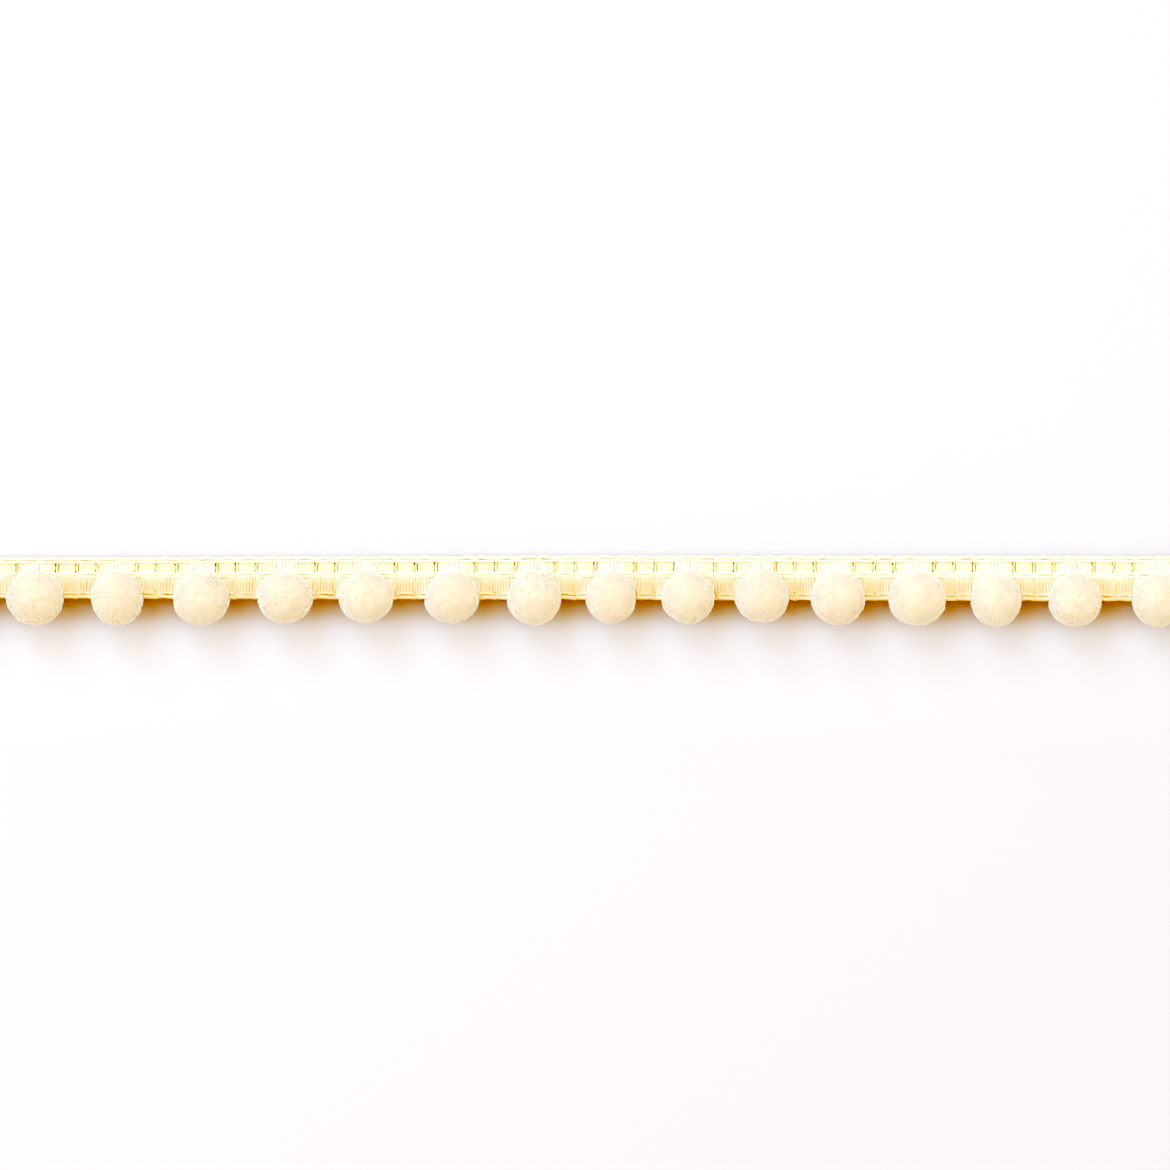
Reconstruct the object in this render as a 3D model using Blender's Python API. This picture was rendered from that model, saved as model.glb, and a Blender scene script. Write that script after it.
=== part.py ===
"""Mini pompom fringe trim: a narrow knitted heading tape that carries a row of cut-pile pompoms.

It is a cut length that lies on a table. X runs along the trim, +Y points from the pompoms to the
tape's upper edge and +Z is up. The origin is on the table, under the middle of the whole trim.
The tape's upper edge lies flat. From there the tape climbs to its lower edge, which every pompom
grips at about half of its own height.
"""

import math
import random
from collections import namedtuple

import bmesh
import bpy
from mathutils import Matrix, Vector, noise

MM = 0.001

# Heading tape, a strip of three knitted chains with short bars between them
COURSE_PITCH = 2.0 * MM
COURSES = 69
TAPE_LENGTH = COURSES * COURSE_PITCH
TAPE_CREST = 1.08 * MM
FOOT_SHARE = 0.24

# Distance of the line through the pompoms' centres from the middle of the whole trim
ROW_Y = -0.77 * MM

# Pompoms. Shares and levels are those of a ball of radius 1, and the cube that it starts from has
# sides of 2.
PILE_CLEARANCE = 0.3 * MM
SLOT_OVERRUN = 1.5
BALL_CUTS = 2
PILE_SHARE = 1.03
ROOT_SHARE = 0.88
LUMP_SHARE = 0.05
LUMP_FREQUENCY = 1.6
LUMP_PLACES = 9.0
LOCK_SHIFT = 0.13
RESTING_LEVEL = -0.92
RESTING_SPREAD = 0.5
CUBE_BOTTOM = -0.99
LOCKS_PER_POMPOM = 17
LOCK_TAPER = 0.19 * MM
LOCK_RISE = (0.20 * MM, 0.32 * MM)
LOCK_CROWN = 0.13 * MM
LOCK_TO_SLOT = 0.05 * MM
FRINGE_SEED = 7

SHARP_EDGE = math.radians(50)

# How the tape lies: where its two edges are beside the pompoms' line, and how high the lower one is
TapeLie = namedtuple("TapeLie", "x upper_y lower_y lower_z")
TAPE_LIES = (
    TapeLie(x=-0.5 * TAPE_LENGTH, upper_y=4.00 * MM, lower_y=0.05 * MM, lower_z=1.65 * MM),
    TapeLie(x=0.0, upper_y=4.25 * MM, lower_y=-0.05 * MM, lower_z=1.75 * MM),
    TapeLie(x=0.5 * TAPE_LENGTH, upper_y=4.20 * MM, lower_y=-0.25 * MM, lower_z=1.85 * MM),
)

# The tape's section, once round. Across is a share of the tape's width, from its upper edge, and
# height is above its underside, at the joint between two stitches and at the loop of a stitch.
TapeRow = namedtuple("TapeRow", "name joint_across joint_height loop_across loop_height")
TAPE_ROWS = (
    TapeRow("upper edge, underside", 0.000, 0.00 * MM, 0.000, 0.00 * MM),
    TapeRow("upper edge, side", 0.020, 0.50 * MM, -0.015, 0.55 * MM),
    TapeRow("upper chain, outer leg", 0.065, 0.72 * MM, 0.025, TAPE_CREST),
    TapeRow("upper chain, middle", 0.090, 1.00 * MM, 0.090, 0.70 * MM),
    TapeRow("upper chain, inner leg", 0.115, 0.72 * MM, 0.165, TAPE_CREST),
    TapeRow("upper openings", 0.325, 0.94 * MM, 0.325, 0.36 * MM),
    TapeRow("middle chain, upper leg", 0.560, 0.72 * MM, 0.505, TAPE_CREST),
    TapeRow("middle chain, middle", 0.585, 1.00 * MM, 0.585, 0.70 * MM),
    TapeRow("middle chain, lower leg", 0.610, 0.72 * MM, 0.665, TAPE_CREST),
    TapeRow("lower openings", 0.800, 0.94 * MM, 0.800, 0.36 * MM),
    TapeRow("lower chain, upper leg", 0.965, 0.72 * MM, 0.925, TAPE_CREST),
    TapeRow("lower chain, middle", 1.000, 0.90 * MM, 1.000, 0.66 * MM),
    TapeRow("lower chain, outer leg", 1.025, 0.50 * MM, 1.070, 0.62 * MM),
    TapeRow("lower edge, underside", 0.990, 0.00 * MM, 0.990, 0.00 * MM),
    TapeRow("underside, bend", FOOT_SHARE, 0.00 * MM, FOOT_SHARE, 0.00 * MM),
)

# The stations along one stitch: how far along it they are, and how much of its loop shows there
Station = namedtuple("Station", "along loop")
STITCH = (
    Station(along=0.00, loop=0.0),
    Station(along=0.26, loop=1.0),
    Station(along=0.70, loop=0.8),
)

# The pompoms from left to right: place along the trim, offset from their line, and size
Pompom = namedtuple("Pompom", "x offset_y width length height")
POMPOMS = (
    Pompom(x=-63.2 * MM, offset_y=0.00 * MM, width=5.2 * MM, length=5.2 * MM, height=5.0 * MM),
    Pompom(x=-55.0 * MM, offset_y=0.00 * MM, width=5.6 * MM, length=5.3 * MM, height=5.1 * MM),
    Pompom(x=-46.8 * MM, offset_y=-0.05 * MM, width=5.0 * MM, length=5.3 * MM, height=5.1 * MM),
    Pompom(x=-38.4 * MM, offset_y=-0.05 * MM, width=5.5 * MM, length=5.2 * MM, height=5.0 * MM),
    Pompom(x=-30.0 * MM, offset_y=0.05 * MM, width=5.4 * MM, length=5.0 * MM, height=5.1 * MM),
    Pompom(x=-21.9 * MM, offset_y=0.10 * MM, width=5.3 * MM, length=5.1 * MM, height=5.1 * MM),
    Pompom(x=-13.3 * MM, offset_y=0.10 * MM, width=5.3 * MM, length=5.1 * MM, height=5.0 * MM),
    Pompom(x=-5.1 * MM, offset_y=0.00 * MM, width=5.3 * MM, length=5.3 * MM, height=5.1 * MM),
    Pompom(x=2.6 * MM, offset_y=0.10 * MM, width=4.9 * MM, length=5.2 * MM, height=5.0 * MM),
    Pompom(x=10.3 * MM, offset_y=0.10 * MM, width=5.2 * MM, length=5.1 * MM, height=5.0 * MM),
    Pompom(x=17.7 * MM, offset_y=0.15 * MM, width=5.3 * MM, length=5.1 * MM, height=5.1 * MM),
    Pompom(x=25.3 * MM, offset_y=0.00 * MM, width=5.3 * MM, length=5.2 * MM, height=5.1 * MM),
    Pompom(x=33.2 * MM, offset_y=-0.05 * MM, width=5.6 * MM, length=5.3 * MM, height=5.2 * MM),
    Pompom(x=41.1 * MM, offset_y=-0.20 * MM, width=5.0 * MM, length=5.2 * MM, height=5.0 * MM),
    Pompom(x=49.0 * MM, offset_y=-0.20 * MM, width=5.2 * MM, length=5.2 * MM, height=5.1 * MM),
    Pompom(x=57.4 * MM, offset_y=-0.20 * MM, width=5.3 * MM, length=5.2 * MM, height=5.1 * MM),
    Pompom(x=65.4 * MM, offset_y=-0.15 * MM, width=5.2 * MM, length=5.2 * MM, height=5.0 * MM),
)

TAPE_YARN_COLOUR = (0.93, 0.81, 0.58, 1.0)
POMPOM_YARN_COLOUR = (0.95, 0.80, 0.60, 1.0)
YARN_ROUGHNESS = 0.9


def clear_scene():
    """Empty the scene that Blender starts with."""
    for existing in list(bpy.data.objects):
        bpy.data.objects.remove(existing, do_unlink=True)


def make_collection(name):
    """Link a new collection to the scene."""
    collection = bpy.data.collections.new(name)
    bpy.context.scene.collection.children.link(collection)
    return collection


def make_yarn(name, colour):
    """A matt, undyed yarn."""
    material = bpy.data.materials.new(name)
    material.use_nodes = True
    shader = material.node_tree.nodes["Principled BSDF"]
    shader.inputs["Base Color"].default_value = colour
    shader.inputs["Roughness"].default_value = YARN_ROUGHNESS
    shader.inputs["Metallic"].default_value = 0.0
    material.diffuse_color = colour
    return material


def add_object(name, mesh_data, collection, material=None):
    """Turn finished mesh data into an object of the given collection."""
    mesh = bpy.data.meshes.new(name)
    mesh_data.to_mesh(mesh)
    mesh_data.free()
    added = bpy.data.objects.new(name, mesh)
    collection.objects.link(added)
    if material:
        mesh.materials.append(material)
    return added


def tape_lie_at(x):
    """The two edges of the tape at a place along it, between the rows of the table."""
    for left, right in zip(TAPE_LIES, TAPE_LIES[1:]):
        if x <= right.x:
            break
    share = (x - left.x) / (right.x - left.x)
    return TapeLie(*(a + share * (b - a) for a, b in zip(left, right)))


def tape_slope_at(x):
    """The angle at which the tape climbs from its flat foot to its lower edge."""
    lie = tape_lie_at(x)
    run = (1.0 - FOOT_SHARE) * (lie.upper_y - lie.lower_y)
    return math.atan2(lie.lower_z, run)


def tape_point(x, across, height):
    """A point of the tape, from its share of the width and its height above the underside."""
    lie = tape_lie_at(x)
    y = ROW_Y + lie.upper_y - across * (lie.upper_y - lie.lower_y)
    if across <= FOOT_SHARE:
        return Vector((x, y, height))
    slope = tape_slope_at(x)
    z = lie.lower_z * (across - FOOT_SHARE) / (1.0 - FOOT_SHARE)
    return Vector((x, y + height * math.sin(slope), z + height * math.cos(slope)))


def make_tape(collection, material):
    """The heading tape: a grid that is wrapped round the section, with its stitches raised."""
    stations = COURSES * len(STITCH)
    rows = len(TAPE_ROWS)
    tape = bmesh.new()
    bmesh.ops.create_grid(tape, x_segments=stations, y_segments=rows, size=0.5)
    for vertex in tape.verts:
        course, step = divmod(round((vertex.co.x + 0.5) * stations), len(STITCH))
        row = TAPE_ROWS[round((vertex.co.y + 0.5) * rows) % rows]
        loop = STITCH[step].loop
        across = row.joint_across + loop * (row.loop_across - row.joint_across)
        height = row.joint_height + loop * (row.loop_height - row.joint_height)
        x = (course + STITCH[step].along) * COURSE_PITCH - 0.5 * TAPE_LENGTH
        vertex.co = tape_point(x, across, height)
    bmesh.ops.remove_doubles(tape, verts=tape.verts, dist=0.001 * MM)
    bmesh.ops.holes_fill(tape, edges=tape.edges, sides=0)
    bmesh.ops.recalc_face_normals(tape, faces=tape.faces)
    added = add_object("heading_tape", tape, collection, material)
    added.data.shade_smooth()
    added.data.set_sharp_from_angle(angle=SHARP_EDGE)
    return added


def make_slot_cutter(name, pompom, collection):
    """The space that the tape takes in a pompom: a long box on the tape's slope, with clearance."""
    slope = tape_slope_at(pompom.x)
    box = bmesh.new()
    bmesh.ops.create_cube(box, size=1.0)
    for vertex in box.verts:
        vertex.co.x *= SLOT_OVERRUN * pompom.width
        vertex.co.y = (vertex.co.y + 0.5) * pompom.length
        vertex.co.z *= TAPE_CREST + 2.0 * PILE_CLEARANCE
    cutter = add_object(name, box, collection)
    widest_row = max(TAPE_ROWS, key=lambda row: row.loop_across)
    edge = tape_point(pompom.x, widest_row.loop_across, 0.5 * TAPE_CREST)
    inward = Vector((0.0, math.cos(slope), -math.sin(slope)))
    cutter.location = edge - inward * PILE_CLEARANCE
    cutter.rotation_euler = (-slope, 0.0, 0.0)
    cutter.hide_render = True
    cutter.display_type = "WIRE"
    return cutter


def random_place(chance):
    """Where in the noise a pompom's own lumps are read."""
    return Vector([chance.uniform(-LUMP_PLACES, LUMP_PLACES) for _ in range(3)])


def is_under_ball(point):
    """Whether a point of the starting cube is in the middle of its bottom, on which the ball rests."""
    return point.z < CUBE_BOTTOM and max(abs(point.x), abs(point.y)) < RESTING_SPREAD


def squared_to_round(point):
    """Move a point of a cube with sides of 2 onto the unit sphere, with even steps between points."""
    return Vector([math.tan(value * math.pi / 4.0) for value in point]).normalized()


def reaches_slot(point, pompom):
    """Whether a point of the pompom is in the space that the tape takes, or below it."""
    slope = tape_slope_at(pompom.x)
    edge = tape_point(pompom.x, 1.0, 0.5 * TAPE_CREST)
    inward = (point.y - edge.y) * math.cos(slope) - (point.z - edge.z) * math.sin(slope)
    above = (point.y - edge.y) * math.sin(slope) + (point.z - edge.z) * math.cos(slope)
    half_slot = 0.5 * TAPE_CREST + PILE_CLEARANCE + LOCK_TO_SLOT
    return inward > -2.0 * PILE_CLEARANCE and above < half_slot


def make_pompom(name, pompom, collection, cutters, material):
    """One pompom: a ball of dense pile with blunt locks on its upper side, flat where it rests."""
    chance = random.Random(f"{name} {FRINGE_SEED}")
    shift_place = random_place(chance)
    lump_place = random_place(chance)
    half_height = pompom.height / (1.0 - RESTING_LEVEL)
    half_size = Vector((0.5 * pompom.width, 0.5 * pompom.length, half_height))
    centre = Vector((pompom.x, ROW_Y + pompom.offset_y, -RESTING_LEVEL * half_height))

    ball = bmesh.new()
    bmesh.ops.create_cube(ball, size=2.0)
    bmesh.ops.subdivide_edges(ball, edges=ball.edges, cuts=BALL_CUTS, use_grid_fill=True)
    turn = Matrix.Rotation(chance.uniform(0.0, 0.5 * math.pi), 3, "Z")
    for vertex in ball.verts:
        outward = turn @ squared_to_round(vertex.co)
        if is_under_ball(vertex.co):
            reach = outward * PILE_SHARE
            reach.z = RESTING_LEVEL
        else:
            outward += LOCK_SHIFT * noise.noise_vector(outward + shift_place)
            outward.normalize()
            lump = 1.0 + LUMP_SHARE * noise.noise(outward * LUMP_FREQUENCY + lump_place)
            reach = outward * PILE_SHARE * lump
        vertex.co = centre + Vector([r * half for r, half in zip(reach, half_size)])

    highest_first = sorted(ball.faces, key=lambda face: -face.calc_center_median().z)
    lock_faces = []
    for face in highest_first:
        in_slot = any(reaches_slot(vertex.co, pompom) for vertex in face.verts)
        if len(lock_faces) < LOCKS_PER_POMPOM and not in_slot:
            lock_faces.append(face)
    for root in {vertex for face in lock_faces for vertex in face.verts}:
        root.co = centre.lerp(root.co, ROOT_SHARE)
    ball.normal_update()
    for face in lock_faces:
        rise = chance.uniform(*LOCK_RISE)
        bmesh.ops.inset_individual(ball, faces=[face], thickness=LOCK_TAPER, depth=rise)
        face.normal_update()
        bmesh.ops.poke(ball, faces=[face], offset=LOCK_CROWN)
    bmesh.ops.recalc_face_normals(ball, faces=ball.faces)

    added = add_object(name, ball, collection, material)
    slot = added.modifiers.new("tape slot", "BOOLEAN")
    slot.operation = "DIFFERENCE"
    slot.solver = "EXACT"
    slot.object = make_slot_cutter(f"{name}_slot", pompom, cutters)
    added.data.shade_smooth()
    added.data.set_sharp_from_angle(angle=SHARP_EDGE)
    return added


def make_trim():
    """The whole trim: the heading tape, and its pompoms from left to right."""
    clear_scene()
    noise.seed_set(FRINGE_SEED)
    trim = make_collection("pompom_fringe_trim")
    cutters = make_collection("cutters")
    make_tape(trim, make_yarn("heading_yarn", TAPE_YARN_COLOUR))
    pompom_yarn = make_yarn("pompom_yarn", POMPOM_YARN_COLOUR)
    for number, pompom in enumerate(POMPOMS, start=1):
        make_pompom(f"pompom_{number:02d}", pompom, trim, cutters, pompom_yarn)


make_trim()
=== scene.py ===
# %% [markdown]
# # A pompom fringe trim
# This trim is a narrow knitted tape with a row of small cut-pile pompoms along its lower edge. The
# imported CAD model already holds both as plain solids, at true size. This script dresses them. It
# knits the tape from real yarn loops, grows the pile of each pompom, and lights them on a table.
# Sizes are in millimetres, because that is how a trim maker measures. They become metres when a
# finished mesh is put in place.

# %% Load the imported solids
import math
from collections import namedtuple

import bpy
import numpy as np
from mathutils import Matrix, Vector


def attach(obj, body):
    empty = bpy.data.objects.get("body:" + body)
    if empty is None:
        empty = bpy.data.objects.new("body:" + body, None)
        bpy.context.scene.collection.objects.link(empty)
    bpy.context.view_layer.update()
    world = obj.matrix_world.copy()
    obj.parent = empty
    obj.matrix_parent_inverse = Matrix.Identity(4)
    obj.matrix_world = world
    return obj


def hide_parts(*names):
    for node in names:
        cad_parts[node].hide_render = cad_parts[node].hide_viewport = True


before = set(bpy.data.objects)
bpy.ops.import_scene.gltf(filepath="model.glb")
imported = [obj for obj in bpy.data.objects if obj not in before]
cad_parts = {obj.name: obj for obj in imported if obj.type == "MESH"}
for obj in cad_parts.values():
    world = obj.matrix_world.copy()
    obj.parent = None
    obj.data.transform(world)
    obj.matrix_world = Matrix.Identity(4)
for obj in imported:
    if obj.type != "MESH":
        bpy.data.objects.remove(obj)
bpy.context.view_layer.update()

MM = 0.001

# %% [markdown]
# ## Helpers for Geometry Nodes
# Anything that repeats, such as a stitch or a fibre, is made by a Geometry Nodes tree. A tree can be
# drawn by hand in the editor, but building it in the script keeps every size readable. These
# helpers add a named input, add a node with what feeds it, and turn a finished tree into plain mesh.

# %% Add inputs and nodes to a tree
def new_tree(name):
    """An empty Geometry Nodes tree that takes a geometry and gives one back."""
    tree = bpy.data.node_groups.new(name, "GeometryNodeTree")
    tree.interface.new_socket("Geometry", in_out="INPUT", socket_type="NodeSocketGeometry")
    tree.interface.new_socket("Geometry", in_out="OUTPUT", socket_type="NodeSocketGeometry")
    return tree, tree.nodes.new("NodeGroupInput")


def named_input(tree, start, name, kind):
    """Add an input to the tree and return the socket that carries it inside."""
    tree.interface.new_socket(name, in_out="INPUT", socket_type=f"NodeSocket{kind}")
    return start.outputs[name]


def pick_socket(sockets, key):
    """A socket by its index, or the one in use that has this name."""
    if isinstance(key, int):
        return sockets[key]
    return next(s for s in sockets if s.name == key and s.enabled)


def add_node(tree, kind, feeds=None, **settings):
    """Add a node. Each feed is a plain value, or the output of another node."""
    made = tree.nodes.new(kind)
    for name, value in settings.items():
        setattr(made, name, value)
    for key, value in (feeds or {}).items():
        socket = pick_socket(made.inputs, key)
        if isinstance(value, bpy.types.NodeSocket):
            tree.links.new(value, socket)
        else:
            socket.default_value = value
    return made


def calc(tree, operation, *values):
    """One sum on plain numbers."""
    return add_node(tree, "ShaderNodeMath", dict(enumerate(values)), operation=operation).outputs[0]


def vector_calc(tree, operation, *values):
    """One sum on vectors. Its result is a vector, or a number for a length or a dot product."""
    made = add_node(tree, "ShaderNodeVectorMath", dict(enumerate(values)), operation=operation)
    return made.outputs[1 if operation in ("LENGTH", "DOT_PRODUCT") else 0]


def store(tree, geometry, name, value, domain="POINT"):
    """Keep a number on the geometry under a name that a material can read."""
    feeds = {"Geometry": geometry, "Name": name, "Value": value}
    made = add_node(tree, "GeometryNodeStoreNamedAttribute", feeds, data_type="FLOAT", domain=domain)
    return made.outputs[0]


def join(tree, *parts):
    """Several geometries as one."""
    joined = add_node(tree, "GeometryNodeJoinGeometry")
    for part in parts:
        tree.links.new(part, joined.inputs[0])
    return joined.outputs[0]


def finish_tree(tree, geometry, material):
    """Shade the geometry smooth, make it one real mesh of this material, and hand it out."""
    smooth = add_node(tree, "GeometryNodeSetShadeSmooth", {"Geometry": geometry})
    plain = add_node(tree, "GeometryNodeRealizeInstances", {"Geometry": smooth.outputs[0]})
    worn = add_node(tree, "GeometryNodeSetMaterial",
                    {"Geometry": plain.outputs[0], "Material": material})
    end = tree.nodes.new("NodeGroupOutput")
    tree.links.new(worn.outputs[0], end.inputs[0])


# %% Read places and draw lots inside a tree
def position(tree):
    """Where a point is."""
    return add_node(tree, "GeometryNodeInputPosition").outputs[0]


def axis_parts(tree, vector):
    """The x, y and z of a vector."""
    return add_node(tree, "ShaderNodeSeparateXYZ", {0: vector}).outputs


def scaled(tree, vector, factor):
    """The vector times one number."""
    return add_node(tree, "ShaderNodeVectorMath", {0: vector, "Scale": factor},
                    operation="SCALE").outputs[0]


def draw_number(tree, seed, low=0.0, high=1.0):
    """A random number for each point, anywhere from low to high."""
    return add_node(tree, "FunctionNodeRandomValue", {2: low, 3: high, "Seed": seed},
                    data_type="FLOAT").outputs[1]


def draw_vector(tree, seed, reach, **feeds):
    """A random vector for each point, with each part anywhere from minus this reach to plus it."""
    return add_node(tree, "FunctionNodeRandomValue", {
        0: (-reach,) * 3, 1: (reach,) * 3, **feeds, "Seed": seed},
        data_type="FLOAT_VECTOR").outputs[0]


# %% Turn a tree's result into plain mesh
def run_tree(tree, name, start_mesh, values):
    """Apply the tree to a mesh with these named values, and return a new plain mesh."""
    carrier = bpy.data.objects.new(name, start_mesh)
    bpy.context.scene.collection.objects.link(carrier)
    modifier = carrier.modifiers.new("recipe", "NODES")
    modifier.node_group = tree
    for socket in tree.interface.items_tree:
        if socket.name in values:
            modifier[socket.identifier] = values[socket.name]
    graph = bpy.context.evaluated_depsgraph_get()
    mesh = bpy.data.meshes.new_from_object(carrier.evaluated_get(graph))
    bpy.data.objects.remove(carrier)
    mesh.name = name
    return mesh


def read_points(mesh):
    """The mesh's points as rows of x, y and z."""
    points = np.empty(len(mesh.vertices) * 3, np.float32)
    mesh.vertices.foreach_get("co", points)
    return points.reshape(-1, 3).astype(float)


def read_number(mesh, name):
    """A stored number for each point of the mesh."""
    values = np.empty(len(mesh.vertices), np.float32)
    mesh.attributes[name].data.foreach_get("value", values)
    return values.astype(float)


def read_corners(mesh):
    """For each face corner: its point, its face, and its place within the face."""
    points = np.empty(len(mesh.loops), np.int32)
    mesh.loops.foreach_get("vertex_index", points)
    starts = np.empty(len(mesh.polygons), np.int32)
    mesh.polygons.foreach_get("loop_start", starts)
    sizes = np.empty(len(mesh.polygons), np.int32)
    mesh.polygons.foreach_get("loop_total", sizes)
    faces = np.repeat(np.arange(len(starts)), sizes)
    return points, faces, np.arange(len(points)) - starts[faces]


def unroll(mesh, across, up):
    """Give the mesh a flat map for painted textures, with these two places for each corner."""
    flat = mesh.uv_layers.new(name="OFBake")
    flat.data.foreach_set("uv", np.stack([across, up], axis=1).astype(np.float32).ravel())


def count_triangles(mesh):
    """How many triangles the mesh's faces make."""
    return sum(len(face.vertices) - 2 for face in mesh.polygons)


print("helpers ready")

# %% [markdown]
# ## Yarn
# Both pieces are of the same undyed cream yarn. Light that gets deep between fibres bounces many
# times and comes out a strong amber, while the outer fibres stay pale. A ray tracer would need a
# great many bounces for that. So each point stores how deep it lies, and the material paints a
# warmer colour there, as painted shade. A second stored number mixes in the colour of pale pile,
# for the yarns of the pompoms, and as painted light for the chain loops and for the tape beside
# each pompom. The fibres scatter light at a low angle, which is what sheen is for.

# %% Make the two yarn materials
Shade = namedtuple("Shade", "deep middle pale")
TAPE_SHADE = Shade(deep=(0.82, 0.575, 0.385), middle=(0.87, 0.735, 0.535), pale=(0.925, 0.843, 0.625))
PILE_SHADE = Shade(deep=(0.95, 0.80, 0.55), middle=(0.98, 0.90, 0.74), pale=(0.99, 0.95, 0.862))
YARN_ROUGHNESS = 0.9
YARN_SPECULAR = 0.2
SHEEN_WEIGHT = 0.12
SHEEN_ROUGHNESS = 0.45
BATCH_SCALE = 180.0
BATCH_SHARE = 0.03
MIDDLE_DEPTH = 0.5


def new_yarn(name, shade):
    """A matt yarn whose colour follows the stored depth, from the inside to the outer fibres."""
    material = bpy.data.materials.new(name)
    material.use_nodes = True
    tree = material.node_tree
    shader = tree.nodes["Principled BSDF"]
    shader.inputs["Roughness"].default_value = YARN_ROUGHNESS
    shader.inputs["Sheen Weight"].default_value = SHEEN_WEIGHT
    shader.inputs["Sheen Roughness"].default_value = SHEEN_ROUGHNESS
    shader.inputs["Specular IOR Level"].default_value = YARN_SPECULAR
    depth = add_node(tree, "ShaderNodeAttribute", attribute_name="yarn_depth").outputs["Fac"]
    ramp = add_node(tree, "ShaderNodeValToRGB", {"Fac": depth})
    ramp.color_ramp.elements[0].color = (*shade.deep, 1.0)
    ramp.color_ramp.elements[1].color = (*shade.pale, 1.0)
    middle = ramp.color_ramp.elements.new(MIDDLE_DEPTH)
    middle.color = (*shade.middle, 1.0)
    place = add_node(tree, "ShaderNodeTexCoord").outputs["Object"]
    batch = add_node(tree, "ShaderNodeTexNoise", {"Vector": place, "Scale": BATCH_SCALE, "Detail": 1.0})
    uneven = calc(tree, "MULTIPLY_ADD", batch.outputs[0], -BATCH_SHARE, 1.0)
    return material, tree, shader, ramp.outputs["Color"], uneven


def tint(tree, colour, brightness, shader):
    """Dim the colour by a number close to 1, and give it to the surface."""
    tree.links.new(scaled(tree, colour, brightness), shader.inputs["Base Color"])


print("yarn shades:", TAPE_SHADE.pale, "and", PILE_SHADE.pale)

# %% Heading yarn: twisted from three plies
PLIES = 3.0
TWIST_LENGTH = 0.9
PLY_HEIGHT = 0.05
PLY_RELIEF = 0.8
GROOVE_SHARE = 0.16
heading_yarn, tree, shader, colour, uneven = new_yarn("heading yarn", TAPE_SHADE)
tone = add_node(tree, "ShaderNodeAttribute", attribute_name="yarn_tone").outputs["Fac"]
colour = add_node(tree, "ShaderNodeMix", {"Factor": tone, "A": colour, "B": (*PILE_SHADE.pale, 1.0)},
                  data_type="RGBA").outputs["Result"]
round_x = add_node(tree, "ShaderNodeAttribute", attribute_name="yarn_round_x").outputs["Fac"]
round_y = add_node(tree, "ShaderNodeAttribute", attribute_name="yarn_round_y").outputs["Fac"]
along = add_node(tree, "ShaderNodeAttribute", attribute_name="yarn_along").outputs["Fac"]
angle = calc(tree, "MULTIPLY", calc(tree, "ARCTAN2", round_y, round_x), PLIES / (2.0 * math.pi))
twist = calc(tree, "MULTIPLY_ADD", along, PLIES / TWIST_LENGTH, angle)
crown = calc(tree, "MULTIPLY", calc(tree, "PINGPONG", twist, 0.5), 2.0)
bump = add_node(tree, "ShaderNodeBump", {
    "Height": crown, "Strength": PLY_RELIEF, "Distance": PLY_HEIGHT * MM})
tree.links.new(bump.outputs[0], shader.inputs["Normal"])
# The grooves between the plies are painted darker: painted shade.
groove = calc(tree, "MULTIPLY_ADD", crown, GROOVE_SHARE, 1.0 - GROOVE_SHARE)
tint(tree, colour, calc(tree, "MULTIPLY", groove, uneven), shader)

# %% Pompom yarn: loose cut fibres, each a little lighter or darker
FIBRE_SHARE = 0.05
pompom_yarn, tree, shader, colour, uneven = new_yarn("pompom yarn", PILE_SHADE)
chance = add_node(tree, "ShaderNodeAttribute", attribute_name="yarn_chance").outputs["Fac"]
fibre = calc(tree, "MULTIPLY_ADD", calc(tree, "MAXIMUM", chance, 0.0), -FIBRE_SHARE, 1.0)
tint(tree, colour, calc(tree, "MULTIPLY", fibre, uneven), shader)
print("materials:", heading_yarn.name, "and", pompom_yarn.name)

# %% [markdown]
# ## How the trim lies
# The tape's upper edge lies flat on the table. From there the tape climbs to its lower edge, which
# runs through the pompoms at about half their height. Three rows say where the edges are at the
# left end, the middle and the right end, beside the line through the pompoms' centres. A second
# table gives each pompom's place and size, as no two balls are cut alike. Anything made flat, such
# as the knitting, is moved to this lie by one function.

# %% Measures of the tape's lie
COURSE_PITCH = 2.0
COURSES = 69
TAPE_LENGTH = COURSES * COURSE_PITCH
FOOT_SHARE = 0.24  # of the tape's width, flat on the table
SOFT_BEND = 0.15  # of the climb, in which the tape turns upwards
ROW_Y = -0.77  # the line through the pompoms' centres
TapeLie = namedtuple("TapeLie", "x upper_y lower_y lower_z")
TAPE_LIES = (
    TapeLie(x=-0.5 * TAPE_LENGTH, upper_y=4.00, lower_y=0.05, lower_z=1.65),
    TapeLie(x=0.0, upper_y=4.25, lower_y=-0.05, lower_z=1.75),
    TapeLie(x=0.5 * TAPE_LENGTH, upper_y=4.20, lower_y=-0.25, lower_z=1.85),
)


def lie_at(x):
    """Where the tape's edges are at places along it: upper y, lower y and lower z."""
    table = np.array(TAPE_LIES)
    return [np.interp(x, table[:, 0], table[:, column]) for column in (1, 2, 3)]


def lay_tape(points):
    """Move points of a flat tape to where it lies. They hold x, the share across, and height."""
    x, across, height = points.T
    upper_y, lower_y, lower_z = lie_at(x)
    run = (1.0 - FOOT_SHARE) * (upper_y - lower_y)
    climb = np.clip((across - FOOT_SHARE) / (1.0 - FOOT_SHARE), 0.0, None)
    slope = np.arctan2(lower_z, run) * np.clip(climb / SOFT_BEND, 0.0, 1.0)
    y = ROW_Y + upper_y - across * (upper_y - lower_y) + height * np.sin(slope)
    z = climb * lower_z + height * np.cos(slope)
    return np.stack([x, y, z], axis=1)


print("tape:", TAPE_LENGTH, "mm long,", TAPE_LIES[1].upper_y - TAPE_LIES[1].lower_y, "mm wide")

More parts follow.
